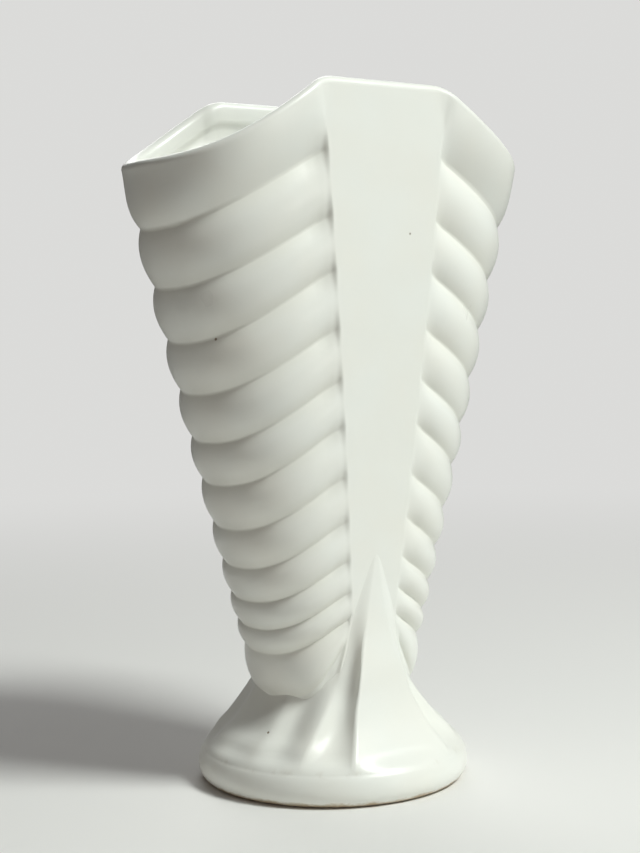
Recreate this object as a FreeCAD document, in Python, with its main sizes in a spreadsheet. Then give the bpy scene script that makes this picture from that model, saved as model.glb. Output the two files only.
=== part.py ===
"""Fan vase: a ribbed, slip-cast vessel luted onto a flared, fluted pedestal foot.

Frame: +Z up, origin at the centre of the foot on the table. X runs across the fan, from end to
end, and the smooth panels face -Y and +Y. All lengths are in millimetres.
"""
import FreeCAD, Part
import Sketcher
import math
import operator
import os
from collections import namedtuple

Vector = FreeCAD.Vector

# Driving dimensions: name and value, one row of the sheet each
DRIVING = (
    ("vase_height", 230.0),
    ("rim_end_height", 205.3),
    ("rim_end_reach", 71.3),
    ("rim_panel_offset", 35.9),
    ("rim_panel_half_width", 24.0),
    ("wall_thickness", 4.6),
    ("floor_thickness", 5.0),
    ("fan_end_reach", 79.2),
    ("panel_bow", 2.2),
    ("rib_end_height", 42.0),
    ("rib_end_tip_height", 38.0),
    ("rib_end_reach", 27.2),
    ("rib_end_panel_offset", 23.3),
    ("rib_end_panel_half_width", 6.7),
    ("rib_depth_top", 2.7),
    ("rib_depth_low", 1.5),
    ("seat_height", 36.0),
    ("seat_reach", 26.6),
    ("seat_panel_offset", 23.4),
    ("seat_panel_half_width", 13.5),
    ("flute_head_half_width", 11.0),
    ("slip_thickness", 1.0),
    ("slip_half_length", 24.0),
    ("slip_half_width", 19.0),
    ("slip_width", 6.0),
    ("ring_radius", 46.0),
    ("ring_height", 11.1),
    ("ring_top_round", 5.0),
    ("ring_under_round", 3.5),
    ("ring_land", 5.5),
    ("hollow_top_radius", 19.0),
    ("hollow_roof_thickness", 6.0),
    ("flare_top_radius", 27.8),
    ("flare_foot_radius", 43.8),
    ("flare_sink", 3.0),
    ("flute_depth", 3.4),
    ("leaf_top_height", 78.0),
    ("leaf_seat_half_width", 10.2),
    ("leaf_seat_offset", 29.9),
    ("leaf_foot_half_width", 19.3),
    ("leaf_tip_thickness", 0.6),
    ("leaf_gap", 0.3),
)

# Heights of the eleven grooves, as shares of the vase's height: where they leave the panel, and
# where they cross the end of the fan, about one rib lower
PANEL_GROOVE_SHARES = (0.907, 0.818, 0.744, 0.664, 0.592, 0.528, 0.456, 0.393, 0.336, 0.290, 0.252)
END_GROOVE_SHARES = (0.800, 0.719, 0.644, 0.572, 0.504, 0.443, 0.379, 0.323, 0.274, 0.233, 0.197)

# How round the fan's plan is: under 1 is fuller than an ellipse, at the end and beside the panel
END_ROUND_SHARE = 0.885
SIDE_ROUND_SHARE = 1.0
RIM_END_ROUND_SHARE = 0.69
RIM_SIDE_ROUND_SHARE = 0.95

# How a groove and the rim droop from panel to end: 1 is a straight slope, more flattens at the end
GROOVE_DROOP_SHARE = 1.18
RIM_DROOP_SHARE = 1.34

# A rib's crest, as a share of the panel's rise over the grooves, and how far down the rib the
# profile's shoulders lie
CREST_SHARE = 0.86
SHOULDER_SHARE = 0.17
COLLAR_SHOULDER_SHARE = 0.3
COLLAR_DIP_SHARE = 0.12
CREST_OF_HANDLE_SHARE = 0.75

# Where the lines lie that a rib's and the lip's round profiles are drawn with
RIB_LINE_SHARES = (0.0, 0.2, 0.5, 0.8, 1.0)
LIP_LINE_SHARES = (0.0, 0.25, 0.75, 1.0)

# The flare's levels from the seat down to inside the ring, as shares of its height, and how far
# its ridges, its leaves and their edges have spread by there
FLARE_LEVEL_SHARES = (0.0, 0.15, 0.34, 0.53, 0.72, 0.89, 1.0)
RIDGE_SPREAD_SHARES = (0.0, 0.11, 0.29, 0.52, 0.79, 0.98, 1.0)
LEAF_SPREAD_SHARES = (0.0, 0.04, 0.19, 0.38, 0.66, 0.92, 1.0)
LEAF_WIDEN_SHARES = (0.0, 0.11, 0.32, 0.55, 0.80, 0.97, 1.0)
RIDGE_TURN_SHARES = (0.0, 0.28, 0.56, 0.76, 0.92, 0.99, 1.0)
FLUTE_SHARES = (0.0, 0.35, 0.65, 0.9, 1.0, 0.8, 0.7)

# Where the ridges stand round the foot, in degrees from the front
RIDGE_SEAT_ANGLE = 32.0
RIDGE_FOOT_ANGLE = 49.0
END_FLUTE_ANGLE = 14.0
END_RIDGE_ANGLE = 74.0
END_RIDGE_SHARE = 1.02
QUARTER_TURN = 90.0

# Points on one quarter of the fan's end
TURN_STEPS = 7

Row = namedtuple("Row", "panel_height end_height panel_half panel_offset end_offset end_reach "
                        "end_round side_round droop")

doc = FreeCAD.newDocument("fan_vase")
sheet = doc.addObject("Spreadsheet::Sheet", "Sizes")
for line, (name, value) in enumerate(DRIVING, 1):
    sheet.set("A%d" % line, name)
    sheet.set("B%d" % line, str(value))
    sheet.setAlias("B%d" % line, name)
doc.recompute()


def size(name):
    """A driving dimension, read from the sheet."""
    return float(sheet.get(name))


def between(low, high, share):
    """The value a share of the way from low to high."""
    return low + (high - low) * share


# Faces

def smooth_edge(points):
    """A smooth edge through the points, evenly timed, so that like edges run in step."""
    curve = Part.BSplineCurve()
    last = len(points) - 1
    curve.interpolate(Points=points, Parameters=[step / last for step in range(last + 1)])
    return curve.toShape()


def ruled_patches(upper, lower):
    """The small ruled faces between two lines of points."""
    patches = []
    for place in range(len(upper) - 1):
        ends = slice(place, place + 2)
        high, low = [Part.makePolygon(line[ends]).Edges[0] for line in (upper, lower)]
        patches.append(Part.makeRuledSurface(high, low))
    return patches


def handle_edge(points):
    """A smooth edge from the first point to the last, drawn towards the two between."""
    curve = Part.BezierCurve()
    curve.setPoles(points)
    return curve.toShape()


def flat_face(points):
    """The flat face inside a ring of points."""
    return Part.Face(Part.makePolygon(points + points[:1]))


def mirrored(shapes, normal):
    """The shapes and their mirror images in the plane through the axis."""
    return shapes + [shape.mirror(Vector(0, 0, 0), normal) for shape in shapes]


def closed_solid(faces):
    """One solid from faces that meet along their edges."""
    shell = Part.makeShell(faces)
    shell.sewShape()
    if shell.ShapeType != "Shell":
        shell = shell.Shells[0]
    solid = Part.makeSolid(shell)
    if solid.Volume < 0:
        solid.reverse()
    return solid


def flat_cap(faces, height):
    """The flat face inside the edges that lie at the height."""
    edges = [edge for face in faces for edge in face.Edges
             if abs(edge.BoundBox.ZMin - height) < FLAT and abs(edge.BoundBox.ZMax - height) < FLAT]
    return Part.Face(Part.Wire(Part.__sortEdges__(edges)))


FLAT = 1e-4
WIDE = Vector(1, 0, 0)
DEEP = Vector(0, 1, 0)


# The ribbed body

def rise(panel_height):
    """Share of the way from the ribs' lower end to the rim, at the panel."""
    return (panel_height - size("rib_end_height")) / (size("vase_height") - size("rib_end_height"))


def panel_offset(panel_height):
    """How far the panel's face stands from the middle, a slightly bowed line."""
    share = rise(panel_height)
    bow = 4 * share * (1 - share) * size("panel_bow")
    return between(size("rib_end_panel_offset"), size("rim_panel_offset"), share) + bow


def fan_reach(end_height):
    """How far the fan's end reaches at a height, between the ribs' lower end and the rim."""
    low = size("rib_end_tip_height")
    share = (end_height - low) / (size("vase_height") - low)
    return between(size("rib_end_reach"), size("fan_end_reach"), share)


def rib_depth(panel_height):
    """How far the panel stands proud of the grooves."""
    return between(size("rib_depth_low"), size("rib_depth_top"), rise(panel_height))


def groove(panel_height, end_height):
    """A groove's line round one end of the fan."""
    share = rise(panel_height)
    return Row(
        panel_height, end_height,
        between(size("rib_end_panel_half_width"), size("rim_panel_half_width"), share),
        panel_offset(panel_height),
        panel_offset(panel_height) - rib_depth(panel_height),
        fan_reach(end_height), END_ROUND_SHARE, SIDE_ROUND_SHARE, GROOVE_DROOP_SHARE)


def end_rail(row):
    """Points round one end, from the front panel's edge to the back panel's."""
    points = []
    for step in range(-TURN_STEPS, TURN_STEPS + 1):
        share = 1 - abs(step) / TURN_STEPS
        turn = 0.5 * math.pi * share ** 1.3 / (share ** 1.3 + (1 - share) ** 1.2)
        along = math.sin(turn) ** row.end_round
        across = abs(math.cos(turn)) ** row.side_round if share < 1 else 0.0
        fall = max(0.0, 1 - along) ** row.droop
        height = between(row.end_height, row.panel_height, fall)
        lean = fan_reach(height) - fan_reach(row.end_height)
        points.append(Vector(between(row.panel_half, row.end_reach + lean, along),
                             math.copysign(row.end_offset * across, step), height))
    return points


def panel_corner(row):
    """Where a row meets the front panel's edge at the +X side."""
    return Vector(row.panel_half, -row.panel_offset, row.panel_height)


def rib_corner(row):
    """Where a row meets the side of the panel's step."""
    return Vector(row.panel_half, -row.end_offset, row.panel_height)


def across(point):
    """The point's mirror image at the panel's other edge."""
    return Vector(-point.x, point.y, point.z)


def band(rows):
    """The faces from the first row to the last: ruled strips round both ends, both panels, and
    the sides of the panels' steps, which are flat."""
    first, last = rows[0], rows[-1]
    rails = [end_rail(row) for row in rows]
    strips = [patch for upper, lower in zip(rails, rails[1:]) for patch in ruled_patches(upper, lower)]
    corners = [panel_corner(first)] + [rib_corner(row) for row in rows] + [panel_corner(last)]
    outline = [point for point, after in zip(corners, corners[1:] + corners[:1]) if point != after]
    sides = [flat_face(outline)] if len(outline) > 2 else []
    panel = flat_face([across(panel_corner(first)), panel_corner(first),
                       panel_corner(last), across(panel_corner(last))])
    return mirrored(strips, WIDE) + mirrored(mirrored(sides, WIDE), DEEP) + mirrored([panel], DEEP)


def curved_rows(start, start_handle, end_handle, end, shares):
    """Rows along the curve that leaves start and reaches end by way of the two handles."""
    rows = []
    for share in shares:
        rest = 1 - share
        weights = (rest ** 3, 3 * rest ** 2 * share, 3 * rest * share ** 2, share ** 3)
        columns = zip(start, start_handle, end_handle, end)
        rows.append(Row(*[sum(map(operator.mul, weights, column)) for column in columns]))
    return rows


def rib_band(upper, lower):
    """One rib at each end, round and full between its two grooves."""
    reach = CREST_SHARE / CREST_OF_HANDLE_SHARE

    def shoulder(own, other):
        out = reach * (own.panel_offset - own.end_offset)
        return own._replace(
            panel_height=between(own.panel_height, other.panel_height, SHOULDER_SHARE),
            end_height=between(own.end_height, other.end_height, SHOULDER_SHARE),
            panel_half=between(own.panel_half, other.panel_half, SHOULDER_SHARE),
            end_offset=own.end_offset + out, end_reach=own.end_reach + out)
    return band(curved_rows(upper, shoulder(upper, lower), shoulder(lower, upper), lower,
                            RIB_LINE_SHARES))


def collar_band(rim, lower):
    """The plain collar: down from the rim, then tucked in to the first groove."""
    depth = lower.panel_offset - lower.end_offset

    def near(own, other, swell):
        share = COLLAR_SHOULDER_SHARE
        panel = between(own.panel_offset, other.panel_offset, share)
        return own._replace(
            panel_height=between(own.panel_height, other.panel_height, share),
            end_height=between(own.end_height, other.end_height, share),
            panel_half=between(own.panel_half, other.panel_half, share),
            end_offset=panel - COLLAR_DIP_SHARE * depth, end_reach=own.end_reach + swell)
    return band(curved_rows(rim, near(rim, lower, 0), near(lower, rim, depth), lower,
                            RIB_LINE_SHARES))


def thinner(row, wall):
    """The row moved inwards by the wall."""
    return row._replace(panel_offset=row.panel_offset - wall, end_offset=row.end_offset - wall,
                        end_reach=row.end_reach - wall)


def level(row, height):
    """The row laid flat at one height."""
    return row._replace(panel_height=height, end_height=height)


def hollow_row(row):
    """A flat line round the inside wall, level with the end of a groove."""
    inner = thinner(groove(row.end_height, row.end_height), size("wall_thickness"))
    return inner._replace(end_reach=row.end_reach - size("wall_thickness"))


def lip_faces(outer, inner):
    """The rim's rounded lip, over the top of the wall."""
    lift = lip_radius() / CREST_OF_HANDLE_SHARE

    def above(row):
        return row._replace(panel_height=row.panel_height + lift, end_height=row.end_height + lift)
    rows = curved_rows(outer, above(outer), above(inner), inner, LIP_LINE_SHARES)
    return [face for pair in zip(rows, rows[1:]) for face in band(pair)]


def lip_radius():
    """The lip is a half round over the wall."""
    return size("wall_thickness") / 2


def body_rows():
    """The rows of the body's outside, from the rim down to the seat."""
    height = size("vase_height")
    lip = lip_radius()
    rim = groove(height - lip, size("rim_end_height") - lip)._replace(
        panel_offset=size("rim_panel_offset"),
        end_offset=size("rim_panel_offset"),
        end_reach=size("rim_end_reach"), end_round=RIM_END_ROUND_SHARE,
        side_round=RIM_SIDE_ROUND_SHARE, droop=RIM_DROOP_SHARE)
    grooves = [groove(high * height, low * height)
               for high, low in zip(PANEL_GROOVE_SHARES, END_GROOVE_SHARES)]
    last = groove(size("rib_end_height"), size("rib_end_tip_height"))
    last = last._replace(panel_half=size("flute_head_half_width"))
    seat = level(last, size("seat_height"))._replace(
        panel_half=size("seat_panel_half_width"), panel_offset=size("seat_panel_offset"),
        end_offset=size("seat_panel_offset"), end_reach=size("seat_reach"))
    return rim, grooves, last, seat


def fan_body():
    """The vessel: ribs, panels, collar, lip, inside wall and floor, as one closed skin."""
    rim, grooves, last, seat = body_rows()
    wall = size("wall_thickness")
    faces = collar_band(rim, grooves[0])
    for upper, lower in zip(grooves, grooves[1:] + [last]):
        faces += rib_band(upper, lower)
    faces += band([last, seat])

    floor = level(thinner(last, wall), size("seat_height") + size("floor_thickness"))
    inside = [thinner(rim, wall)] + [hollow_row(row) for row in grooves[::3]] + [floor]
    faces += lip_faces(rim, inside[0])
    for pair in zip(inside, inside[1:]):
        faces += band(pair)
    faces.append(flat_cap(faces, seat.panel_height))
    faces.append(flat_cap(faces, floor.panel_height))
    return closed_solid(faces)


# The pedestal foot

def foot_top():
    """The foot's top face, under the slip."""
    return size("seat_height") - size("slip_thickness")


def around(radius, degrees, height):
    """A point at a radius, an angle from the front towards +X, and a height."""
    angle = math.radians(degrees)
    return Vector(radius * math.sin(angle), -radius * math.cos(angle), height)


def flare_outline(height, spread, leaf_spread, widen, turn, flute):
    """One quarter of the flare's outline at a height: half the leaf, a flute and the flank."""
    radius = between(size("flare_top_radius"), size("flare_foot_radius"), spread)
    half = between(size("leaf_seat_half_width"), size("leaf_foot_half_width"), widen)
    leaf_foot = math.sqrt(size("flare_foot_radius") ** 2 - size("leaf_foot_half_width") ** 2)
    offset = between(size("leaf_seat_offset"), leaf_foot, leaf_spread)
    depth = flute * size("flute_depth")
    middle = Vector(0, -offset - depth / 3, height)
    leaf_edge = Vector(half, -offset, height)
    angle = between(RIDGE_SEAT_ANGLE, RIDGE_FOOT_ANGLE, turn)
    ridge = around(radius, angle, height)
    inward = Vector(-leaf_edge.x - ridge.x, -leaf_edge.y - ridge.y, 0).normalize()
    sink = inward * (depth / CREST_OF_HANDLE_SHARE)
    span = ridge - leaf_edge
    leaf = handle_edge([middle, Vector(half / 3, middle.y, height), leaf_edge])
    channel = handle_edge([leaf_edge, leaf_edge + span / 3 + sink, ridge - span / 3 + sink, ridge])
    flank = handle_edge([ridge, around(radius - depth, angle + END_FLUTE_ANGLE, height),
                         around(radius * END_RIDGE_SHARE, END_RIDGE_ANGLE, height),
                         around(radius - depth / 3, QUARTER_TURN, height)])
    return [leaf, channel, flank]


def flared_skirt():
    """The fluted flare, from the seat down into the ring, closed flat at top and bottom."""
    top = foot_top()
    bottom = size("ring_height") - size("flare_sink")
    tables = zip(FLARE_LEVEL_SHARES, RIDGE_SPREAD_SHARES, LEAF_SPREAD_SHARES, LEAF_WIDEN_SHARES,
                 RIDGE_TURN_SHARES, FLUTE_SHARES)
    outlines = [flare_outline(between(top, bottom, fall), *shares) for fall, *shares in tables]
    faces = [Part.makeRuledSurface(high, low)
             for upper, lower in zip(outlines, outlines[1:]) for high, low in zip(upper, lower)]
    faces = mirrored(mirrored(faces, WIDE), DEEP)
    faces += [flat_cap(faces, top), flat_cap(faces, bottom)]
    return closed_solid(faces)


def leaf_tip():
    """The pointed tip of the front leaf, lapped up over the panel with a hair's gap."""
    seat = body_rows()[3]
    low, tip = foot_top(), size("leaf_top_height")
    thickness = size("leaf_tip_thickness")
    back = [Vector(0, -seat.panel_offset - size("leaf_gap"), low)]
    back += [Vector(0, -row.panel_offset - size("leaf_gap"), row.panel_height)
             for row in [seat] + panel_rows_under(tip)]
    back.append(Vector(0, -panel_line(tip) - size("leaf_gap"), tip))
    front = [Vector(0, back[-1].y - thickness, tip), Vector(0, -size("leaf_seat_offset"), low)]
    half = size("leaf_seat_half_width")
    side = Part.Face(Part.makePolygon(back + front + back[:1]))
    side.translate(Vector(-half, 0, 0))
    outline = Part.Face(Part.makePolygon([
        Vector(-half, 0, low), Vector(half, 0, low), Vector(thickness, 0, tip),
        Vector(-thickness, 0, tip), Vector(-half, 0, low)]))
    outline_depth = 2 * size("leaf_seat_offset")
    slab = side.extrude(Vector(2 * half, 0, 0))
    return slab.common(outline.extrude(Vector(0, -outline_depth, 0)))


def panel_rows_under(height):
    """The body's rows that the panel passes below the height, from the lowest up."""
    rim, grooves, last, seat = body_rows()
    return [last] + [row for row in reversed(grooves) if row.panel_height < height]


def panel_line(height):
    """The panel's offset at a height, along the straight run between two rows."""
    rim, grooves, last, seat = body_rows()
    rows = [last] + list(reversed(grooves)) + [rim]
    for lower, upper in zip(rows, rows[1:]):
        if lower.panel_height <= height <= upper.panel_height:
            share = (height - lower.panel_height) / (upper.panel_height - lower.panel_height)
            return between(lower.panel_offset, upper.panel_offset, share)
    return seat.panel_offset


def add_shape(name, shape):
    """A document object that carries a shape made here."""
    item = doc.addObject("Part::Feature", name)
    item.Shape = shape
    item.Placement = FreeCAD.Placement()
    return item


def bind(item, bindings):
    """Bind properties of an object to the sheet."""
    for prop, expression in bindings.items():
        item.setExpression(prop, expression)
    return item


# The luting slip: an oval band of clay between the foot and the body's floor

def oval(name, inset):
    """An upright oval plug as thick as the slip."""
    outline = bind(doc.addObject("Part::Ellipse", name + "_outline"),
                   {"MajorRadius": "Sizes.slip_half_length" + inset,
                    "MinorRadius": "Sizes.slip_half_width" + inset,
                    "Placement.Base.z": "Sizes.seat_height - Sizes.slip_thickness"})
    plug = doc.addObject("Part::Extrusion", name)
    plug.Base = outline
    plug.DirMode = "Custom"
    plug.Dir = Vector(0, 0, 1)
    plug.Solid = True
    return bind(plug, {"LengthFwd": "Sizes.slip_thickness"})


def origin_plane(body, role):
    """One of a body's own origin planes."""
    return [item for item in body.Origin.OriginFeatures if item.Role == role][0]


# The foot's ring: a thick disc with rounded edges, turned from its profile. Each corner of the
# profile is a radius and a height, in words that the sheet knows
RING_PROFILE = (
    ("0", "0"),
    ("Sizes.ring_radius - Sizes.ring_under_round", "0"),
    ("Sizes.ring_radius - 0.3 * Sizes.ring_under_round", "0.3 * Sizes.ring_under_round"),
    ("Sizes.ring_radius", "Sizes.ring_under_round"),
    ("Sizes.ring_radius", "Sizes.ring_height - Sizes.ring_top_round"),
    ("Sizes.ring_radius - 0.3 * Sizes.ring_top_round", "Sizes.ring_height - 0.3 * Sizes.ring_top_round"),
    ("Sizes.ring_radius - Sizes.ring_top_round", "Sizes.ring_height"),
    ("0", "Sizes.ring_height"),
)


def drawn_profile(sketch, corners):
    """Draw a closed ring of lines, with each corner off the axes bound to the sheet."""
    count = len(corners)
    guess = [Vector(number + 1, (number * number + 1) % count, 0) for number in range(count)]
    for number in range(count):
        sketch.addGeometry(Part.LineSegment(guess[number], guess[(number + 1) % count]))
    for number in range(count):
        sketch.addConstraint(Sketcher.Constraint("Coincident", number, 2, (number + 1) % count, 1))
    for number, (radius, height) in enumerate(corners):
        for kind, expression in (("DistanceX", radius), ("DistanceY", height)):
            place = sketch.addConstraint(Sketcher.Constraint(kind, -1, 1, number, 1, 1.0))
            sketch.setExpression("Constraints[%d]" % place, expression)


ring = doc.addObject("PartDesign::Body", "foot_ring")
ring_sketch = ring.newObject("Sketcher::SketchObject", "ring_sketch")
ring_sketch.AttachmentSupport = [(origin_plane(ring, "XZ_Plane"), "")]
ring_sketch.MapMode = "FlatFace"
drawn_profile(ring_sketch, RING_PROFILE)
turned = ring.newObject("PartDesign::Revolution", "turned_ring")
turned.Profile = ring_sketch
turned.ReferenceAxis = (ring_sketch, ["V_Axis"])
turned.Angle = 360
ring.Tip = turned
doc.recompute()

# The pedestal foot: flare, ring and leaves in one casting, hollow underneath
front_leaf = leaf_tip()
skirt = add_shape("flared_skirt", flared_skirt())
leaf_front = add_shape("leaf_front", front_leaf)
leaf_back = add_shape("leaf_back", front_leaf.mirror(Vector(0, 0, 0), DEEP))
casting = doc.addObject("Part::MultiFuse", "foot_casting")
casting.Shapes = [skirt, ring, leaf_front, leaf_back]
hollow = bind(doc.addObject("Part::Cone", "foot_hollow"),
              {"Radius1": "Sizes.ring_radius - Sizes.ring_under_round - Sizes.ring_land",
               "Radius2": "Sizes.hollow_top_radius",
               "Height": "Sizes.seat_height - Sizes.slip_thickness - Sizes.hollow_roof_thickness"})
pedestal = doc.addObject("Part::Cut", "pedestal_foot")
pedestal.Base = casting
pedestal.Tool = hollow

# The luting slip is an oval ring
slip = doc.addObject("Part::Cut", "luting_slip")
slip.Base = oval("slip_outside", "")
slip.Tool = oval("slip_inside", " - Sizes.slip_width")

body = add_shape("fan_body", fan_body())
doc.recompute()

SUBPARTS = (body, pedestal, slip)
for item in SUBPARTS:
    item.Label = item.Name

for item in doc.Objects:
    faults = [state for state in item.State if state in ("Invalid", "Error")]
    if faults:
        raise RuntimeError("%s is %s" % (item.Name, ", ".join(faults)))
for item in SUBPARTS:
    if item.Shape.isNull() or not item.Shape.isValid() or len(item.Shape.Solids) != 1:
        raise RuntimeError("%s isn't one valid solid" % item.Label)

os.makedirs("parts", exist_ok=True)
for item in SUBPARTS:
    item.Shape.exportStep("parts/%s.step" % item.Label)
    box = item.Shape.BoundBox
    print("%s: %.1f cm3, %.1f x %.1f x %.1f mm, %d faces" % (
        item.Label, item.Shape.Volume / 1000, box.XLength, box.YLength, box.ZLength,
        len(item.Shape.Faces)))
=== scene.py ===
import math
from bisect import bisect_left
from collections import namedtuple

import bpy
from mathutils import Matrix, Vector


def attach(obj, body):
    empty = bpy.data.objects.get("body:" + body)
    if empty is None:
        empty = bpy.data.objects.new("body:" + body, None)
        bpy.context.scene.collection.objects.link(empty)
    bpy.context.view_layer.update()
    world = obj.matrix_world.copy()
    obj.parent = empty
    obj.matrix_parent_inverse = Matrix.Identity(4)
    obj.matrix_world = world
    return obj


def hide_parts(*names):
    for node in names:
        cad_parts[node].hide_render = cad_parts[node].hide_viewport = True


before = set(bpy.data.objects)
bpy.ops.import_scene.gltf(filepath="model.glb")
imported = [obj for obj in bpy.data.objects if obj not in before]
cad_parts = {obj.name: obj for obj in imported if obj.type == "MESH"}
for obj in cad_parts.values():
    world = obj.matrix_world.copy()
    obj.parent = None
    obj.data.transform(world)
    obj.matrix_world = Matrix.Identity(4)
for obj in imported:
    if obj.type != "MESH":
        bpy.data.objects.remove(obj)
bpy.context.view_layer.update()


# The fan body: a slip-cast earthenware vessel. A plaster mould gives it the round drooping ribs
# at both ends, the plain collar and the smooth tapering panels; the soft lip is sponged by hand.
# No primitive can be worked into the ribs' curved rows, so the skin is laid over rows of points.
MILLIMETRE = 0.001

VASE_HEIGHT = 231.0
RIM_END_HEIGHT = 205.8
RIM_PANEL_OFFSET = 35.4
RIM_END_REACH = 71.3
RIM_BULGE = 1.8
LIP_RADIUS = 2.3
WALL = 4.6
FLOOR_HEIGHT = 41.0
RIM_RECESS = 1.1

RIB_FOOT_HEIGHT, RIB_FOOT_END_HEIGHT = 42.0, 38.0
FOOT_REACH, FAN_REACH = 27.2, 79.2
FOOT_PANEL_HALF, RIM_PANEL_HALF = 6.7, 24.0
FOOT_PANEL_OFFSET, TOP_PANEL_OFFSET = 23.3, 35.4
PANEL_BOW = 2.2
FOOT_RIB_DEPTH, TOP_RIB_DEPTH = 2.2, 3.6

# The grooves between the ribs, from the collar down: height at the panel, height at the end
GROOVES = (
    (208.6, 184.0), (188.1, 165.4), (171.1, 148.1), (152.7, 131.6), (136.2, 115.9), (121.4, 101.9),
    (104.9, 87.2), (90.4, 74.3), (77.3, 63.0), (66.7, 53.6), (58.0, 45.3))
BELLY_FOOT = (50.0, 30.6)

# How far along its round profile each row of a rib lies, close together in the grooves
RIB_STEPS = (0.0, 0.04, 0.1, 0.18, 0.27, 0.37, 0.47, 0.57, 0.67, 0.76, 0.84, 0.91, 0.965)
COLLAR_STEPS = (0.0, 0.04, 0.1, 0.18, 0.27, 0.36, 0.45, 0.54, 0.63, 0.72, 0.8, 0.87, 0.94)
SEAT_STEPS = (0, 0.15, 0.3, 0.5, 0.75, 1)

# A rib's profile is a curve between two grooves: how far along its handles lie, how far they stand
# out against the rib's depth, and what part of that is left at the fan's end
RIB_HANDLE, RIB_SWELL, RIB_END_SWELL = 0.34, 1.18, 0.74
# The collar's profile in the same way: its bulge by the panel at the top and at the foot, and its
# swell at the fan's end
COLLAR_HANDLE, COLLAR_TOP_BULGE, COLLAR_FOOT_BULGE, COLLAR_END_SWELL = 0.3, 0.5, 0.15, 1.3

# How a row runs from the panel to the end: how round its end and its side are, and how it droops
RIB_END_ROUND, RIB_SIDE_ROUND, RIB_DROOP = 0.885, 1.0, 1.18
RIM_END_ROUND, RIM_SIDE_ROUND, RIM_DROOP = 0.64, 1.08, 1.42

# Columns: across half a panel, close together over its soft edge, then round a quarter of the fan
PANEL_COLUMNS = (0.0, 0.2, 0.38, 0.52, 0.63, 0.72, 0.79, 0.85, 0.9, 0.94, 0.97)
EDGE_COLUMNS = (0.2, 0.4, 0.6, 0.8, 1.05, 1.4, 2.0, 3.0, 4.4)
END_COLUMNS = 26

# The step from the panel down to the ribs: part of it is crisp, the rest a wide soft shoulder
EDGE_WIDTH, SHOULDER_WIDTH = 1.8, 6.0
EDGE_PART = 0.4

# Six sizes of a row, then the three values that say how it runs
Row = namedtuple("Row", "panel_height end_height panel_half panel_offset end_offset end_reach "
                        "end_round side_round droop")
SIZE_COUNT = 6


def between(low, high, share):
    return low + (high - low) * share


def ease(share):
    share = min(1.0, max(0.0, share))
    return share * share * (3 - 2 * share)


def curved(start, start_handle, end_handle, end, share):
    """A point, or a row, a share of the way along a curve with two handles."""
    rest = 1 - share
    return [rest ** 3 * a + 3 * rest ** 2 * share * b + 3 * rest * share ** 2 * c + share ** 3 * d
            for a, b, c, d in zip(start, start_handle, end_handle, end)]


def fan_reach(end_height):
    """How far the fan's end reaches at a height: it leans out evenly."""
    share = (end_height - RIB_FOOT_END_HEIGHT) / (VASE_HEIGHT - RIB_FOOT_END_HEIGHT)
    return between(FOOT_REACH, FAN_REACH, share)


def groove_row(panel_height, end_height):
    """The row along the bottom of a groove. The panel that it meets bows out most halfway up."""
    rise = (panel_height - RIB_FOOT_HEIGHT) / (VASE_HEIGHT - RIB_FOOT_HEIGHT)
    panel = between(FOOT_PANEL_OFFSET, TOP_PANEL_OFFSET, rise) + 4 * rise * (1 - rise) * PANEL_BOW
    depth = between(FOOT_RIB_DEPTH, TOP_RIB_DEPTH, rise)
    return Row(panel_height, end_height, between(FOOT_PANEL_HALF, RIM_PANEL_HALF, rise), panel,
               panel - depth, fan_reach(end_height), RIB_END_ROUND, RIB_SIDE_ROUND, RIB_DROOP)


def towards(own, other, share):
    """A row with its sizes a share of the way to another row's, that runs as before."""
    sizes = [between(a, b, share) for a, b in zip(own[:SIZE_COUNT], other[:SIZE_COUNT])]
    return Row(*sizes, *own[SIZE_COUNT:])


def rib_rows(upper, lower):
    """One rib, round and full between its two grooves, from the upper one down."""
    def handle(own, other):
        out = RIB_SWELL * (own.panel_offset - own.end_offset)
        near = towards(own, other, RIB_HANDLE)
        return near._replace(end_offset=near.end_offset + out,
                             end_reach=near.end_reach + RIB_END_SWELL * out)
    return [Row(*curved(upper, handle(upper, lower), handle(lower, upper), lower, step))
            for step in RIB_STEPS]


def collar_rows(rim, lower):
    """The plain collar: down from the rim, fuller than the panel, then rolled into the groove."""
    depth = lower.panel_offset - lower.end_offset

    def handle(own, other, bulge, swell):
        near = towards(own, other, COLLAR_HANDLE)
        return near._replace(end_offset=near.panel_offset + bulge * depth,
                             end_reach=near.end_reach + swell * depth)
    top = handle(rim, lower, COLLAR_TOP_BULGE, 0.0)
    foot = handle(lower, rim, COLLAR_FOOT_BULGE, COLLAR_END_SWELL)
    return [Row(*curved(rim, top, foot, lower, step)) for step in COLLAR_STEPS]


# The panel's corners are rounded at the rim, which fades out over a drop below it. A point of the
# line becomes the weighted mean of nine places on it, out to a spread of so many reaches from the
# corner. Below the least reach or width nothing would show, so the points stay.
CORNER_REACH, CORNER_DROP = 5.0, 11.0
INSIDE_CORNER_REACH = 4.5
CORNER_SPREAD = 2.4
CORNER_WEIGHTS = (1, 2, 3, 4, 4, 4, 3, 2, 1)
LEAST_REACH, LEAST_WIDTH = 0.1, 0.05


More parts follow.
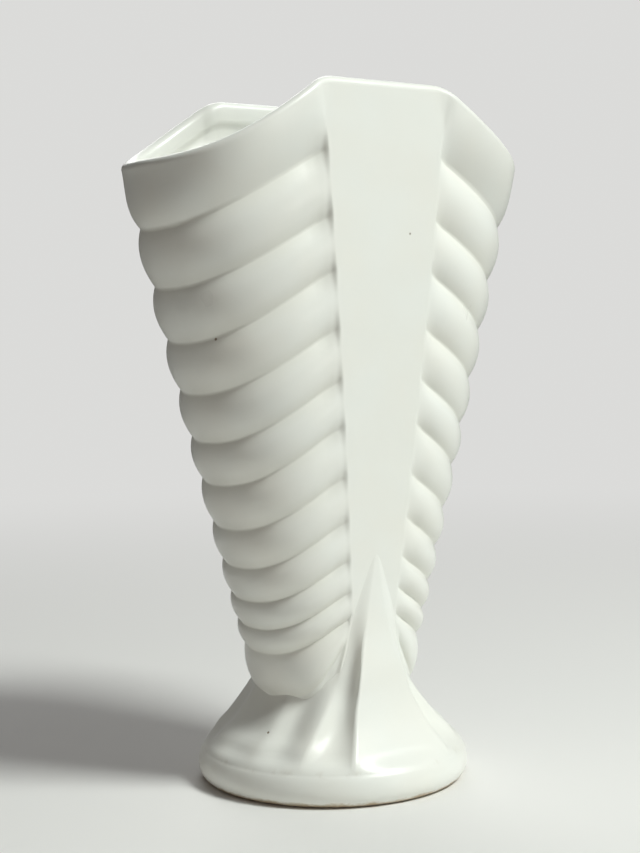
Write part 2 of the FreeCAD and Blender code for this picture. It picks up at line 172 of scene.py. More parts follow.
def softened(points, corner, reach):
    """The line with the bend at its corner rounded off, over a reach on each side of it."""
    lengths = [0.0]
    for before, after in zip(points, points[1:]):
        lengths.append(lengths[-1] + math.dist(before, after))

    def at(length):
        end = bisect_left(lengths, length, 1, len(lengths) - 1)
        share = (length - lengths[end - 1]) / (lengths[end] - lengths[end - 1])
        share = min(1.0, max(0.0, share))
        return [between(a, b, share) for a, b in zip(points[end - 1], points[end])]
    middle = len(CORNER_WEIGHTS) // 2
    rounded = []
    for point, length in zip(points, lengths):
        width = reach * (1 - abs(length - lengths[corner]) / (CORNER_SPREAD * reach))
        if width <= LEAST_WIDTH:
            rounded.append(point)
            continue
        spots = [at(length + width * (step / middle - 1)) for step in range(len(CORNER_WEIGHTS))]
        rounded.append(tuple(
            sum(weight * spot[axis] for weight, spot in zip(CORNER_WEIGHTS, spots))
            / sum(CORNER_WEIGHTS) for axis in range(3)))
    return rounded


def corner_reach(row, inside):
    """How far the panel's corners are rounded: wide at the rim, none below the collar's top."""
    below_lip = VASE_HEIGHT - LIP_RADIUS - row.panel_height
    reach = CORNER_REACH * max(0.0, 1 - below_lip / CORNER_DROP)
    return max(reach, INSIDE_CORNER_REACH) if inside else reach


def quarter_line(row, inside):
    """The points of one row from the middle of the front panel to the +X end."""
    points = [(row.panel_half * share, row.panel_offset, row.panel_height)
              for share in PANEL_COLUMNS]
    span = row.end_reach - row.panel_half
    step_height = row.panel_offset - row.end_offset
    turns = [math.asin((width / span) ** (1 / row.end_round)) for width in (0.0,) + EDGE_COLUMNS]
    turns += [between(turns[-1], math.pi / 2, step / END_COLUMNS)
              for step in range(1, END_COLUMNS + 1)]
    for turn in turns:
        along = min(1.0, math.sin(turn) ** row.end_round)
        across = max(0.0, math.cos(turn)) ** row.side_round
        height = between(row.end_height, row.panel_height, (1 - along) ** row.droop)
        width = along * (span + fan_reach(height) - fan_reach(row.end_height))
        blend = 1 - ease(width / SHOULDER_WIDTH)
        if not inside:
            blend = EDGE_PART * (1 - ease(width / EDGE_WIDTH)) + (1 - EDGE_PART) * blend
        points.append((row.panel_half + width, row.end_offset * across + step_height * blend, height))
    reach = corner_reach(row, inside)
    return softened(points, len(PANEL_COLUMNS), reach) if reach > LEAST_REACH else points


def ring_points(quarter):
    """A whole ring from a quarter: front right, back right, back left, front left."""
    front_right = [(x, -y, z) for x, y, z in quarter]
    back_right = [(x, y, z) for x, y, z in reversed(quarter[:-1])]
    back_left = [(-x, y, z) for x, y, z in quarter[1:]]
    front_left = [(-x, -y, z) for x, y, z in reversed(quarter[1:-1])]
    return front_right + back_right + back_left + front_left


def skin(rings):
    """Vertices and faces of a skin over the rings, each joined to the next, both ends filled."""
    count = len(rings[0])
    vertices = [point for ring in rings for point in ring]
    faces = []
    for level in range(len(rings) - 1):
        low, high = level * count, (level + 1) * count
        for column in range(count):
            after = (column + 1) % count
            faces.append((low + column, low + after, high + after, high + column))
    faces.append(tuple(range(count - 1, -1, -1)))
    faces.append(tuple(range(len(vertices) - count, len(vertices))))
    return vertices, faces


def add_piece(name, vertices, faces, hollowness):
    """A smooth piece at the origin, its sizes turned from millimetres to metres."""
    mesh = bpy.data.meshes.new(name)
    mesh.from_pydata([[size * MILLIMETRE for size in vertex] for vertex in vertices], [], faces)
    mesh.validate()
    layer = mesh.attributes.new("hollowness", "FLOAT", "POINT")
    layer.data.foreach_set("value", hollowness)
    piece = bpy.data.objects.new(name, mesh)
    bpy.context.scene.collection.objects.link(piece)
    bpy.ops.object.select_all(action="DESELECT")
    piece.select_set(True)
    bpy.context.view_layer.objects.active = piece
    bpy.ops.object.mode_set(mode="EDIT")
    bpy.ops.mesh.select_all(action="SELECT")
    bpy.ops.mesh.normals_make_consistent(inside=False)
    bpy.ops.object.mode_set(mode="OBJECT")
    bpy.ops.object.shade_smooth()
    return piece


rim_row = groove_row(VASE_HEIGHT - LIP_RADIUS, RIM_END_HEIGHT - LIP_RADIUS)._replace(
    panel_offset=RIM_PANEL_OFFSET, end_offset=RIM_PANEL_OFFSET + RIM_BULGE, end_reach=RIM_END_REACH,
    end_round=RIM_END_ROUND, side_round=RIM_SIDE_ROUND, droop=RIM_DROOP)
groove_rows = [groove_row(panel_height, end_height) for panel_height, end_height in GROOVES]
belly_foot_row = groove_row(*BELLY_FOOT)._replace(panel_half=10.2, droop=1.85)
tucked_row = belly_foot_row._replace(panel_height=46.5, end_height=29.4, panel_half=11.0)
seat_row = belly_foot_row._replace(panel_height=36.0, end_height=29.0, panel_half=13.4,
                                   panel_offset=22.9, end_offset=20.0, end_reach=23.4)

# The outside, from the rim down, and how deep in a groove each of its rows lies, for the painted
# shade in the grooves: 1 at the bottom, 0 from a quarter of a rib's profile away
GROOVE_SHADE_SHARE = 0.25
outer_rows = collar_rows(rim_row, groove_rows[0])
outer_depths = [0.0] * len(COLLAR_STEPS)
for upper, lower in zip(groove_rows, groove_rows[1:] + [belly_foot_row]):
    outer_rows += rib_rows(upper, lower)
    outer_depths += [max(0.0, 1 - min(step, 1 - step) / GROOVE_SHADE_SHARE) for step in RIB_STEPS]
outer_rows += [Row(*curved(belly_foot_row, tucked_row, seat_row, seat_row, step))
               for step in SEAT_STEPS]
outer_depths += [0.0] * len(SEAT_STEPS)

# The inside, as shares of the way from the lip to the floor: where the shallow recess under the
# lip starts and how long its step is, then how far the rim's own shape holds and fades out. The
# floor's rounding is how far the last row draws in to meet it.
INSIDE_SHARES = (
    0.0, 0.01, 0.02, 0.025, 0.03, 0.035, 0.04, 0.05, 0.065, 0.085, 0.105, 0.13, 0.16, 0.2, 0.25,
    0.32, 0.4, 0.5, 0.6, 0.7, 0.8, 0.88, 0.94, 0.975)
RECESS_START, RECESS_STEP = 0.022, 0.018
RIM_HOLD, RIM_FADE = 0.03, 0.075
FLOOR_ROUNDING = 3.0


def thinner(row, wall):
    return row._replace(panel_offset=row.panel_offset - wall, end_offset=row.end_offset - wall,
                        end_reach=row.end_reach - wall)


def inside_row(share):
    """A row of the smooth inside wall, from the lip at 0 to the flat floor at 1."""
    panel_height = between(VASE_HEIGHT - LIP_RADIUS, FLOOR_HEIGHT, share)
    end_height = between(RIM_END_HEIGHT - LIP_RADIUS, FLOOR_HEIGHT, share)
    own = groove_row(panel_height, end_height)
    full = groove_row(rim_row.panel_height, rim_row.end_height)
    kept = 1 - ease((share - RIM_HOLD) / RIM_FADE)
    row = Row(*[size + (rim - base) * kept for size, rim, base in zip(own, rim_row, full)])
    return thinner(row, WALL - RIM_RECESS * ease((share - RECESS_START) / RECESS_STEP))


inner_rows = [inside_row(share) for share in INSIDE_SHARES]
inner_rows.append(thinner(inner_rows[-1], FLOOR_ROUNDING)._replace(
    panel_height=FLOOR_HEIGHT, end_height=FLOOR_HEIGHT))

# The lip: a half round, at these shares of a half turn from the outside over to the inside
LIP_STEPS = (0.88, 0.75, 0.62, 0.5, 0.38, 0.25, 0.12)
lip_rows = []
for step in LIP_STEPS:
    lip = thinner(rim_row, LIP_RADIUS * (1 + math.cos(math.pi * step)))
    lift = LIP_RADIUS * math.sin(math.pi * step)
    lip_rows.append(lip._replace(panel_height=lip.panel_height + lift,
                                 end_height=lip.end_height + lift))

quarters = [quarter_line(row, False) for row in outer_rows[::-1] + lip_rows]
quarters += [quarter_line(row, True) for row in inner_rows]
depths = outer_depths[::-1] + [0.0] * (len(lip_rows) + len(inner_rows))

# Along a row a groove's painted shade starts a few columns beyond the panel's edge, opens over the
# next ones and is full from there on. The mirrored half of a ring comes out negative, which abs
# undoes.
GROOVE_START = 3
GROOVE_OPENING = [0.15, 0.3, 0.45, 0.6, 0.75, 0.9]
open_share = [0.0] * (len(PANEL_COLUMNS) + GROOVE_START) + GROOVE_OPENING
open_share += [1.0] * (len(quarters[0]) - len(open_share))
ring_share = [abs(share) for share, _, _ in ring_points([(share, 0.0, 0.0) for share in open_share])]
fan_vertices, fan_faces = skin([ring_points(quarter) for quarter in quarters])
fan = add_piece("fan_vessel", fan_vertices, fan_faces,
                [depth * share for depth in depths for share in ring_share])
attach(fan, "root")
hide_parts("fan_body")

# Its glaze: a satin white earthenware glaze, brushed on and fired. It is thinner and creamier in soft
# clouds, with a few pinholes where gas came through, and the grooves are painted greyer as shade,
# most at their bottoms.
GLAZE_WHITE = "#F1F4EF"
GLAZE_CREAM = "#F1F0E7"
# The grey of the painted shade in the grooves
GROOVE_PAINTED_SHADE = "#E6E6DC"
PINHOLE_BROWN = "#8C7A66"
# How much of the painted groove shade lies at a groove's bottom
GROOVE_SHADE_MOST = 0.55
GLAZE_IOR = 1.5

# How wide its patterns are in millimetres. The satin grain is too fine to show as it is, so it is
# drawn as coarse as it needs to show.
CLOUD_WIDTH, BRUSH_WIDTH, SHEEN_WIDTH = 26.316, 18.182, 11.111
PINHOLE_SPACING = 10.526
SATIN_GRAIN = 1.5385
# A pinhole's edge and its full depth, as shares of the spacing, and the share of places without one
PINHOLE_EDGE, PINHOLE_CORE = 0.055, 0.03
PINHOLE_MISSING = 0.86


def linear(code):
    """An sRGB hex value as a linear colour."""
    parts = [int(code[place:place + 2], 16) / 255 for place in (1, 3, 5)]
    return [part / 12.92 if part <= 0.04045 else ((part + 0.055) / 1.055) ** 2.4
            for part in parts] + [1.0]


def repeats(width):
    """The scale of a pattern so many millimetres wide, on Object coordinates in metres."""
    return 1 / (width * MILLIMETRE)


def add_node(tree, kind, settings=None, **inputs):
    """One node with its settings; an input is a value, or the output socket that feeds it."""
    node = tree.nodes.new(kind)
    for name, value in (settings or {}).items():
        setattr(node, name, value)
    for name, value in inputs.items():
        place = int(name[1:]) if name[1:].isdigit() else name.replace("_", " ")
        if isinstance(value, bpy.types.NodeSocket):
            tree.links.new(value, node.inputs[place])
        else:
            node.inputs[place].default_value = value
    return node


def new_material(name):
    """An empty material, its node tree and the Object coordinates in it."""
    material = bpy.data.materials.new(name)
    material.use_nodes = True
    tree = material.node_tree
    tree.nodes.clear()
    return material, tree, add_node(tree, "ShaderNodeTexCoord").outputs["Object"]


def glaze_colour(tree, place):
    """The glaze's colour over a piece: soft cream clouds, painted shade in the grooves and sparse
    pinholes.
    """
    clouds = add_node(tree, "ShaderNodeTexNoise", None, Vector=place, Scale=repeats(CLOUD_WIDTH),
                      Detail=2.0, Roughness=0.5)
    drift = add_node(tree, "ShaderNodeMapRange", None, Value=clouds.outputs["Fac"], From_Min=0.1,
                     From_Max=0.9)
    base = add_node(tree, "ShaderNodeMix", {"data_type": "RGBA"}, Factor=drift.outputs[0],
                    i6=linear(GLAZE_WHITE), i7=linear(GLAZE_CREAM))
    # Painted shade: greyer towards the bottom of each groove, by how deep in it a point lies
    hollow = add_node(tree, "ShaderNodeAttribute", {"attribute_name": "hollowness"})
    groove_shade = add_node(tree, "ShaderNodeMath", {"operation": "MULTIPLY"}, i0=hollow.outputs["Fac"],
                      i1=GROOVE_SHADE_MOST)
    groove_shaded = add_node(tree, "ShaderNodeMix", {"data_type": "RGBA"}, Factor=groove_shade.outputs[0],
                     i6=base.outputs[2], i7=linear(GROOVE_PAINTED_SHADE))
    cells = add_node(tree, "ShaderNodeTexVoronoi", None, Vector=place,
                     Scale=repeats(PINHOLE_SPACING), Randomness=1.0)
    dots = add_node(tree, "ShaderNodeMapRange", {"clamp": True}, Value=cells.outputs["Distance"],
                    From_Min=PINHOLE_EDGE, From_Max=PINHOLE_CORE)
    rare = add_node(tree, "ShaderNodeSeparateColor", None, Color=cells.outputs["Color"])
    some = add_node(tree, "ShaderNodeMath", {"operation": "GREATER_THAN"},
                    i0=rare.outputs[0], i1=PINHOLE_MISSING)
    holes = add_node(tree, "ShaderNodeMath", {"operation": "MULTIPLY"}, i0=dots.outputs[0],
                     i1=some.outputs[0])
    colour = add_node(tree, "ShaderNodeMix", {"data_type": "RGBA"}, Factor=holes.outputs[0],
                      i6=groove_shaded.outputs[2], i7=linear(PINHOLE_BROWN))
    return colour.outputs[2], holes.outputs[0]


def glaze_bump(tree, place, holes):
    """Slow brush waves and a fine satin grain, with the pinholes pressed in."""
    waves = add_node(tree, "ShaderNodeTexNoise", None, Vector=place, Scale=repeats(BRUSH_WIDTH),
                     Detail=1.0)
    grain = add_node(tree, "ShaderNodeTexNoise", None, Vector=place, Scale=repeats(SATIN_GRAIN),
                     Detail=2.0)
    slow = add_node(tree, "ShaderNodeBump", None, Strength=0.25, Distance=0.0009,
                    Height=waves.outputs["Fac"])
    fine = add_node(tree, "ShaderNodeBump", None, Strength=0.12, Distance=0.0001,
                    Height=grain.outputs["Fac"], Normal=slow.outputs[0])
    pits = add_node(tree, "ShaderNodeBump", {"invert": True}, Strength=0.6, Distance=0.0003,
                    Height=holes, Normal=fine.outputs[0])
    return pits.outputs[0]


body_glaze, tree, place = new_material("satin_glaze_on_body")
colour, holes = glaze_colour(tree, place)
normal = glaze_bump(tree, place, holes)
patches = add_node(tree, "ShaderNodeTexNoise", None, Vector=place, Scale=repeats(SHEEN_WIDTH),
                   Detail=2.0)
sheen = add_node(tree, "ShaderNodeMapRange", None, Value=patches.outputs["Fac"], To_Min=0.24,
                 To_Max=0.38)
shader = add_node(tree, "ShaderNodeBsdfPrincipled", None, Base_Color=colour,
                  Roughness=sheen.outputs[0], IOR=GLAZE_IOR, Normal=normal)
add_node(tree, "ShaderNodeOutputMaterial", None, Surface=shader.outputs[0])
fan.data.materials.append(body_glaze)


# The pedestal foot: a second slip casting, open underneath, luted to the body. Its flare has a
# broad leaf front and back that laps up over the panel to a point, a flute on each side of it and
# a thick ring below, with the glaze wiped off where it stands.
SEAT_HEIGHT = 36.2
LEAF_TIP_HEIGHT = 79.5
RING_RADIUS = 44.4
RING_TOP = 10.6

# Down the flare, at each height: the leaf's half width and offset, the ridge's angle from the
# front and its radius, how deep the flutes are, and the radius on the fan's end
SEAT_FLUTE_DEPTH = 1.9
FLARE = (
    (SEAT_HEIGHT, 9.8, 29.9, 31.5, 27.3, SEAT_FLUTE_DEPTH, 22.8),
    (32.7, 10.7, 30.3, 34.5, 28.8, 2.4, 24.4),
    (28.0, 12.5, 31.6, 38.5, 31.6, 3.1, 27.4),
    (24.4, 13.8, 33.1, 41.5, 34.0, 3.4, 30.4),
    (20.5, 15.5, 35.2, 44.3, 36.9, 3.5, 34.0),
    (17.0, 17.2, 37.3, 46.6, 40.1, 2.9, 39.0),
    (13.8, 18.8, 39.3, 48.0, 42.1, 1.8, 41.5),
    (12.0, 19.5, 40.5, 48.6, 43.6, 0.8, 43.4),
    (RING_TOP, 19.9, 41.8, 49.0, RING_RADIUS, 0.3, RING_RADIUS))
FLARE_HEIGHTS = (
    SEAT_HEIGHT, 34.6, 33.0, 31.4, 29.8, 28.2, 26.7, 25.2, 23.8, 22.4, 21.0, 19.7, 18.4, 17.2, 16.1,
    15.0, 14.0, 13.1, 12.4, 11.8, 11.3, 10.9)

# Columns over half a leaf, a flute and the flank; the skirt is the flank's first few, which the
# leaf's tongue takes along
LEAF_COLUMNS, FLUTE_COLUMNS, FLANK_COLUMNS, SKIRT_COLUMNS = 12, 14, 34, 5

# Against the flutes' depth: the leaf's crown, the flute's hollow with its lean to the leaf and its
# roundness, and the flank's hollow with the share of the flank that it takes, then its end's sink
LEAF_CROWN = 0.12
FLUTE_SINK, FLUTE_LEAN, FLUTE_ROUND = 0.95, 0.85, 1.15
FLANK_SINK, FLANK_HOLLOW, FLANK_END_SINK = 0.9, 0.62, 0.3

# The fillet that gathers the leaves, flutes and flanks into the round ring
FILLET_TOP, FILLET_HEIGHT, FILLET_LEAN = 15.5, 5.0, 0.5

# Around the ring and in under it, up the hollow to its roof: radius and height
RING_SIDE = (
    (RING_RADIUS, RING_TOP), (44.75, 10.15), (45.1, 9.6), (45.45, 8.8), (45.78, 7.7), (46.0, 6.3),
    (46.0, 4.9), (45.8, 3.6), (45.3, 2.4), (44.5, 1.3), (43.5, 0.5), (42.3, 0.1), (41.5, 0.0),
    (38.0, 0.0), (37.0, 0.1), (36.2, 0.5), (35.4, 1.3), (34.4, 3.5), (31.5, 9.0), (27.5, 16.0),
    (23.0, 23.0), (19.5, 27.6), (18.0, 28.8), (15.0, 29.2))

# The cap over the seat, hidden by the body: its size against the flare's top, and its lift beside
# the leaf, with the shares of the flank by which the lift has come and gone
CAP_SIZE = 0.84
CAP_LIFT, LIFT_RISE, LIFT_FALL = 4.5, 0.12, 0.8


def mixed(table, height):
    """A line of the table at any height, smoothly between its own."""
    heights = [line[0] for line in table]
    if height >= heights[0]:
        return table[0][1:]
    for place in range(len(table) - 1):
        if heights[place] >= height >= heights[place + 1]:
            before = table[max(0, place - 1)]
            upper, lower = table[place], table[place + 1]
            after = table[min(len(table) - 1, place + 2)]
            gap = upper[0] - lower[0]
            share = (upper[0] - height) / gap
            values = []
            for column in range(1, len(upper)):
                start = (lower[column] - before[column]) / (before[0] - lower[0]) * gap
                end = (after[column] - upper[column]) / (upper[0] - after[0]) * gap
                values += curved((upper[column],), (upper[column] + start / 3,),
                                 (lower[column] - end / 3,), (lower[column],), share)
            return values
    return table[-1][1:]


def leaf_crown(depth, share):
    return LEAF_CROWN * depth * (1 - share * share)


def flute_sink(depth, share):
    return depth * FLUTE_SINK * math.sin(math.pi * share ** FLUTE_LEAN) ** FLUTE_ROUND


def flare_quarter(height):
    """A quarter of the flare's outline at a height, from the leaf's middle to the fan's end."""
    half, offset, angle, radius, depth, end_radius = mixed(FLARE, height)
    turn = math.radians(angle)
    points = []
    for column in range(LEAF_COLUMNS):
        share = column / LEAF_COLUMNS
        points.append((half * share, offset + leaf_crown(depth, share)))
    across = (radius * math.sin(turn) - half, radius * math.cos(turn) - offset)
    length = math.hypot(*across)
    inward = (across[1] / length, -across[0] / length)
    for column in range(FLUTE_COLUMNS):
        share = column / FLUTE_COLUMNS
        sink = flute_sink(depth, share)
        points.append((half + across[0] * share + inward[0] * sink,
                       offset + across[1] * share + inward[1] * sink))
    for column in range(FLANK_COLUMNS + 1):
        share = column / FLANK_COLUMNS
        bearing = between(turn, math.pi / 2, share)
        hollow = 0.5 - 0.5 * math.cos(2 * math.pi * min(1.0, share / FLANK_HOLLOW))
        reach = between(radius, end_radius, ease(share)) - FLANK_SINK * depth * hollow
        reach -= FLANK_END_SINK * depth * ease((share - FLANK_HOLLOW) / (1 - FLANK_HOLLOW))
        points.append((reach * math.sin(bearing), reach * math.cos(bearing)))
    fillet = ease((FILLET_TOP - height) / FILLET_HEIGHT)
    ring_radius = RING_RADIUS - FILLET_LEAN * (height - RING_TOP)
    stretches = [between(1, ring_radius / math.hypot(x, y), fillet) for x, y in points]
    return [(x * stretch, y * stretch, height) for (x, y), stretch in zip(points, stretches)]


def ring_quarter(radius, height):
    """A round quarter with its points at the flare's bearings."""
    bearings = [math.atan2(x, y) for x, y, _ in flare_quarter(RING_TOP)]
    return [(radius * math.sin(bearing), radius * math.cos(bearing), height) for bearing in bearings]


seat_outline = flare_quarter(SEAT_HEIGHT)
ridge = LEAF_COLUMNS + FLUTE_COLUMNS
cap = []
for column, (x, y, z) in enumerate(seat_outline):
    beyond = (column - ridge - SKIRT_COLUMNS) / (FLANK_COLUMNS - SKIRT_COLUMNS)
    lift = CAP_LIFT * ease(beyond / LIFT_RISE) * (1 - ease(beyond / LIFT_FALL))
    cap.append((CAP_SIZE * x, CAP_SIZE * y, z + lift))
foot_quarters = [cap] + [flare_quarter(height) for height in FLARE_HEIGHTS]
foot_quarters += [ring_quarter(radius, height) for radius, height in RING_SIDE]
rings = [ring_points(quarter) for quarter in foot_quarters]
ring_size = len(rings[0])
foot_vertices, foot_faces = skin(rings)

# The tongue of each leaf above the seat, lapped over the panel and run out to its tip: height,
# the leaf's half width and offset, then the foot of its side on the panel
TONGUE = (
    (LEAF_TIP_HEIGHT, 0.2, 26.93, 0.9, 26.7), (75.0, 1.1, 27.00, 2.7, 26.5),
    (70.0, 2.1, 26.88, 4.7, 26.0), (66.0, 3.2, 26.82, 6.3, 25.6), (62.0, 4.4, 26.85, 7.8, 25.2),
    (58.0, 5.5, 27.0, 8.7, 24.85), (54.0, 6.4, 27.2, 9.5, 24.4), (50.0, 7.1, 27.6, 10.1, 24.0),
    (46.0, 7.8, 28.3, 11.0, 23.7), (42.0, 8.5, 29.2, 12.1, 23.4), (39.0, 9.2, 29.6, 13.1, 23.3),
    (SEAT_HEIGHT, 9.8, 29.9, 14.26, 23.28))
TONGUE_HEIGHTS = (38.0, 40.0, 42.0, 44.5, 47.0, 50.0, 53.0, 56.0, 59.0, 62.0, 65.0, 68.0, 71.0, 74.0,
                  76.5, 78.2, LEAF_TIP_HEIGHT)
TONGUE_COLUMNS = LEAF_COLUMNS + FLUTE_COLUMNS + SKIRT_COLUMNS
TONGUE_THICKNESS = 0.8
TIP_FLUTE_DEPTH, FLUTE_FADE = 0.1, 1.3

# Where on its rise the hollow side turns into a soft swell, how much of the flat is left then, and
# how far the swell oversails its foot; then how high up the skirt tucks in behind, and how much
SOFT_START, SOFT_LENGTH = 0.08, 0.5
SOFT_FLAT, SOFT_OVER = 0.6, 0.6
TUCK_HEIGHT, TUCK_ASIDE, TUCK_BACK = 7.0, 0.5, 0.6


def tongue_line(height):
    """Half of the tongue's line: a flute's hollow side at the seat, a soft swell near the tip."""
    half, offset, base_half, base_offset = mixed(TONGUE, height)
    rise = (height - SEAT_HEIGHT) / (LEAF_TIP_HEIGHT - SEAT_HEIGHT)
    soft = ease((rise - SOFT_START) / SOFT_LENGTH)
    depth = between(SEAT_FLUTE_DEPTH, TIP_FLUTE_DEPTH, ease(rise * FLUTE_FADE))
    flat = between(half, SOFT_FLAT * half, soft)
    points = []
    for column in range(LEAF_COLUMNS):
        share = column / LEAF_COLUMNS
        points.append((flat * share, offset + leaf_crown(depth, share), height))
    across = (base_half - half, base_offset - offset)
    length = math.hypot(*across)
    inward = (across[1] / length, -across[0] / length)
    for column in range(FLUTE_COLUMNS + 1):
        share = column / FLUTE_COLUMNS
        sink = flute_sink(depth, share)
        hollow_x = half + across[0] * share + inward[0] * sink
        hollow_y = offset + across[1] * share + inward[1] * sink
        swell_x = between(flat, base_half + SOFT_OVER, share)
        swell_y = between(offset, base_offset, ease(share))
        points.append((between(hollow_x, swell_x, soft), between(hollow_y, swell_y, soft), height))
    foot_x, foot_y, _ = points[-1]
    tuck = ease((height - SEAT_HEIGHT) / TUCK_HEIGHT)
    for column in range(1, SKIRT_COLUMNS + 1):
        aside = seat_outline[ridge + column][0] - seat_outline[ridge][0]
        back = seat_outline[ridge + column][1] - seat_outline[ridge][1]
        points.append((foot_x + aside * (1 - TUCK_ASIDE * tuck),
                       foot_y + back - TUCK_BACK * column * tuck, height))
    return points


def both_sides(half_line, side):
    """A tongue's line from one side to the other, in the order in which a ring runs."""
    left = [(-x * side, -y * side, z) for x, y, z in reversed(half_line[1:])]
    return left + [(x * side, -y * side, z) for x, y, z in half_line]


# Each tongue grows from the flare's first ring in front and from the cap behind, and takes the
# place of the faces that it covers between them
middle = 2 * (len(seat_outline) - 1)
front_columns = [place % ring_size for place in range(-TONGUE_COLUMNS, TONGUE_COLUMNS + 1)]
back_columns = list(range(middle - TONGUE_COLUMNS, middle + TONGUE_COLUMNS + 1))
covered = set()
for side, columns in ((1, front_columns), (-1, back_columns)):
    covered |= set(zip(columns, columns[1:]))
    fronts, backs = [[ring_size + column for column in columns]], [columns]
    for height in TONGUE_HEIGHTS:
        front = tongue_line(height)
        back = [(x, front[-1][1] - TONGUE_THICKNESS, z) for x, y, z in front]
        for rows, line in ((fronts, front), (backs, back)):
            rows.append(list(range(len(foot_vertices), len(foot_vertices) + len(columns))))
            foot_vertices += both_sides(line, side)
    for rows in (fronts, backs):
        for low, high in zip(rows, rows[1:]):
            for place in range(len(columns) - 1):
                foot_faces.append((low[place], low[place + 1], high[place + 1], high[place]))
    for place in (0, -1):
        for level in range(len(fronts) - 1):
            foot_faces.append((fronts[level][place], fronts[level + 1][place],
                               backs[level + 1][place], backs[level][place]))
    for place in range(len(columns) - 1):
        foot_faces.append((fronts[-1][place], fronts[-1][place + 1],
                           backs[-1][place + 1], backs[-1][place]))
foot_faces = [face for face in foot_faces
              if not (len(face) == 4 and max(face) < 2 * ring_size and min(face) < ring_size
                      and (face[0], face[1]) in covered and face[3] - face[0] == ring_size)]

foot = add_piece("flared_foot", foot_vertices, foot_faces, [0.0] * len(foot_vertices))
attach(foot, "root")
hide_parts("pedestal_foot")

# Its glaze is the body's, with a crooked edge of bare tan clay where the ring stands, rougher than
# the glaze, and a trace of grime in the crease above the ring. Heights here are in metres.
BARE_CLAY = "#BBA88C"
GRIME = "#B5AA98"
WEAR_WIDTH = 8.3333
BARE_TOP, BARE_FULL, BARE_WAVER = 0.0040, 0.0028, 0.004
CREASE_HEIGHT, CREASE_EDGE, CREASE_CORE = 0.0110, 0.0016, 0.0002

foot_glaze, tree, place = new_material("satin_glaze_on_foot")
colour, holes = glaze_colour(tree, place)
normal = glaze_bump(tree, place, holes)
height = add_node(tree, "ShaderNodeSeparateXYZ", None, Vector=place).outputs["Z"]
wear = add_node(tree, "ShaderNodeTexNoise", None, Vector=place, Scale=repeats(WEAR_WIDTH),
                Detail=4.0, Roughness=0.7)
level = add_node(tree, "ShaderNodeMath", {"operation": "MULTIPLY_ADD"}, i0=wear.outputs["Fac"],
                 i1=BARE_WAVER, i2=height)
edge = add_node(tree, "ShaderNodeMapRange", None, Value=level.outputs[0], From_Min=BARE_TOP,
                From_Max=BARE_FULL, To_Max=0.9)
bare = add_node(tree, "ShaderNodeMix", {"data_type": "RGBA"}, Factor=edge.outputs[0], i6=colour,
                i7=linear(BARE_CLAY))
over = add_node(tree, "ShaderNodeMath", {"operation": "SUBTRACT"}, i0=height, i1=CREASE_HEIGHT)
away = add_node(tree, "ShaderNodeMath", {"operation": "ABSOLUTE"}, i0=over.outputs[0])
crease = add_node(tree, "ShaderNodeMapRange", None, Value=away.outputs[0], From_Min=CREASE_EDGE,
                  From_Max=CREASE_CORE, To_Max=0.3)
spots = add_node(tree, "ShaderNodeMapRange", None, Value=wear.outputs["Fac"], From_Min=0.52,
                 From_Max=0.75)
grime = add_node(tree, "ShaderNodeMath", {"operation": "MULTIPLY"}, i0=crease.outputs[0],
                 i1=spots.outputs[0])
worn = add_node(tree, "ShaderNodeMix", {"data_type": "RGBA"}, Factor=grime.outputs[0],
                i6=bare.outputs[2], i7=linear(GRIME))
sheen = add_node(tree, "ShaderNodeMapRange", None, Value=edge.outputs[0], To_Min=0.32, To_Max=0.85)
shader = add_node(tree, "ShaderNodeBsdfPrincipled", None, Base_Color=worn.outputs[2],
                  Roughness=sheen.outputs[0], IOR=GLAZE_IOR, Normal=normal)
add_node(tree, "ShaderNodeOutputMaterial", None, Surface=shader.outputs[0])
foot.data.materials.append(foot_glaze)


# The luting slip: a thin oval ring of clay slip that sticks the foot to the body's floor before
# the firing. It is bare fired clay, matte and speckled, hidden between the two castings, so its
# CAD solid is kept as it is.
SLIP_DARK, SLIP_PALE = "#CDBFA8", "#E0D6C4"
SLIP_SPECKLE = 2.5

slip_clay, tree, place = new_material("fired_slip")
speckle = add_node(tree, "ShaderNodeTexNoise", None, Vector=place, Scale=repeats(SLIP_SPECKLE),
                   Detail=4.0)
tone = add_node(tree, "ShaderNodeMix", {"data_type": "RGBA"}, Factor=speckle.outputs["Fac"],
                i6=linear(SLIP_DARK), i7=linear(SLIP_PALE))
rough = add_node(tree, "ShaderNodeBump", None, Strength=0.4, Distance=0.0002,
                 Height=speckle.outputs["Fac"])
shader = add_node(tree, "ShaderNodeBsdfPrincipled", None, Base_Color=tone.outputs[2], Roughness=0.85,
                  Normal=rough.outputs[0])
add_node(tree, "ShaderNodeOutputMaterial", None, Surface=shader.outputs[0])
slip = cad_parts["luting_slip"]
slip.data.materials.clear()
slip.data.materials.append(slip_clay)


# The studio: a pale floor that fades into an even haze, a soft key lamp above the front right, a
# weak fill from the front, a warm one low on the left and one from behind, and the camera where
# the photograph's stood. Only the camera sees the haze bright; what it lights stays dim.
FLOOR_PALE, HAZE_PALE = "#EAE9E6", "#F2F2F0"
HAZE_SEEN, HAZE_LIGHT = 0.80, 0.12
HAZE_START, HAZE_FULL = 0.08, 1.0


def haze_level(tree):
    """The haze's strength: bright where the camera looks at it, dim where it lights the vase."""
    seen = add_node(tree, "ShaderNodeLightPath").outputs["Is Camera Ray"]
    return add_node(tree, "ShaderNodeMapRange", None, Value=seen, To_Min=HAZE_LIGHT,
                    To_Max=HAZE_SEEN).outputs[0]


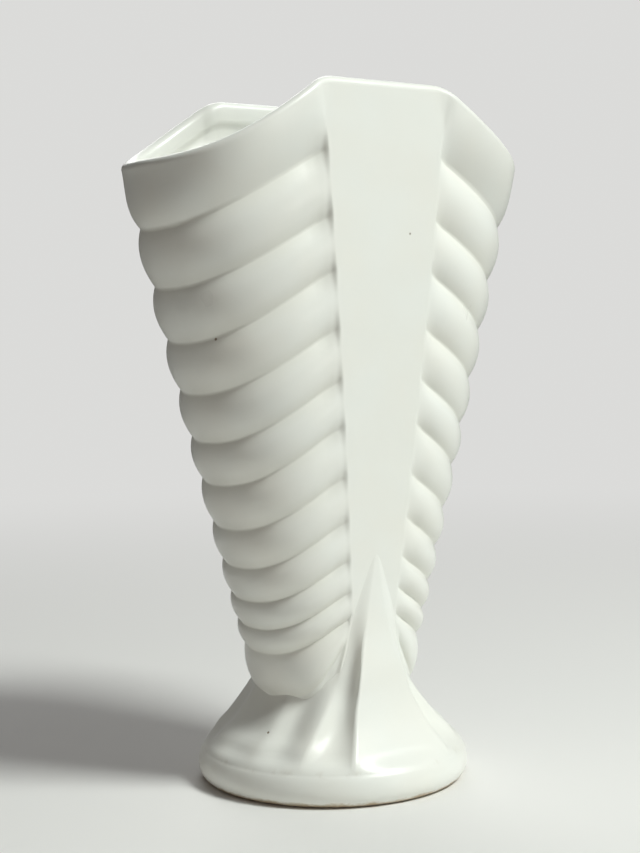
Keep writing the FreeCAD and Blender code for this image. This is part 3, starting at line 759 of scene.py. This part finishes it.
bpy.ops.object.select_all(action="DESELECT")
bpy.ops.mesh.primitive_plane_add(size=6.0, location=(0.0, 0.0, 0.0))
floor = bpy.context.object
floor.name = "studio_floor"
floor_paint, tree, place = new_material("pale_floor")
distance = add_node(tree, "ShaderNodeVectorMath", {"operation": "LENGTH"}, i0=place)
far = add_node(tree, "ShaderNodeMapRange", {"interpolation_type": "SMOOTHSTEP"},
               Value=distance.outputs["Value"], From_Min=HAZE_START, From_Max=HAZE_FULL)
shader = add_node(tree, "ShaderNodeBsdfPrincipled", None, Base_Color=linear(FLOOR_PALE),
                  Roughness=0.8)
haze = add_node(tree, "ShaderNodeEmission", None, Color=linear(HAZE_PALE), Strength=haze_level(tree))
swept = add_node(tree, "ShaderNodeMixShader", None, i0=far.outputs[0], i1=shader.outputs[0],
                 i2=haze.outputs[0])
add_node(tree, "ShaderNodeOutputMaterial", None, Surface=swept.outputs[0])
floor.data.materials.append(floor_paint)

world = bpy.data.worlds.new("studio_air")
bpy.context.scene.world = world
world.use_nodes = True
tree = world.node_tree
tree.nodes.clear()
air = add_node(tree, "ShaderNodeBackground", None, Color=linear(HAZE_PALE), Strength=haze_level(tree))
add_node(tree, "ShaderNodeOutputWorld", None, Surface=air.outputs[0])


def add_lamp(name, place, aim, width, power, tint):
    """A square soft lamp that faces the point aimed at."""
    lamp = bpy.data.lights.new(name, "AREA")
    lamp.size = width
    lamp.energy = power
    lamp.color = linear(tint)[:3]
    item = bpy.data.objects.new(name, lamp)
    bpy.context.scene.collection.objects.link(item)
    item.location = place
    item.rotation_euler = (Vector(aim) - Vector(place)).to_track_quat("-Z", "Y").to_euler()


VASE_MIDDLE = (0.0, 0.0, 0.12)
VASE_FOOT = (0.0, 0.0, 0.03)
add_lamp("key_softbox", (0.42, -0.82, 1.2), VASE_MIDDLE, 0.4, 19.0, "#FAFFFC")
add_lamp("front_fill", (0.4, -1.1, 0.10), VASE_FOOT, 0.4, 1.2, "#FFFDF6")
add_lamp("left_fill", (-1.1, -0.3, 0.15), VASE_MIDDLE, 0.8, 0.35, "#FFB070")
add_lamp("back_fill", (0.5, 1.0, 0.9), VASE_MIDDLE, 0.7, 4.0, "#FFFFFF")

# The photograph's camera: its turn round the vase, its tilt and roll, its focal length and height
# in pixels, and how far it stands back, to the left and up, in metres
CAMERA_BEARING = math.radians(-34.32)
CAMERA_PITCH = math.radians(3.48)
CAMERA_ROLL = math.radians(-0.85)
FOCAL_PIXELS, PHOTO_PIXELS = 1608, 853
SENSOR_WIDTH = 36.0
CAMERA_BACK, CAMERA_LEFT, CAMERA_UP = 0.546, 0.0027, 0.1523

ahead = Vector((-math.sin(CAMERA_BEARING), math.cos(CAMERA_BEARING), 0.0))
right = Vector((math.cos(CAMERA_BEARING), math.sin(CAMERA_BEARING), 0.0))
up = Vector((0.0, 0.0, 1.0))
look = ahead * math.cos(CAMERA_PITCH) - up * math.sin(CAMERA_PITCH)
raised = ahead * math.sin(CAMERA_PITCH) + up * math.cos(CAMERA_PITCH)
side = right * math.cos(CAMERA_ROLL) + raised * math.sin(CAMERA_ROLL)
top = -right * math.sin(CAMERA_ROLL) + raised * math.cos(CAMERA_ROLL)
lens = bpy.data.cameras.new("photo_camera")
lens.sensor_width = SENSOR_WIDTH
lens.lens = FOCAL_PIXELS * SENSOR_WIDTH / PHOTO_PIXELS
camera = bpy.data.objects.new("photo_camera", lens)
bpy.context.scene.collection.objects.link(camera)
turned = Matrix((side, top, -look)).transposed().to_4x4()
turned.translation = up * CAMERA_UP - ahead * CAMERA_BACK - right * CAMERA_LEFT
camera.matrix_world = turned
bpy.context.scene.camera = camera
bpy.context.scene.view_settings.view_transform = "Standard"
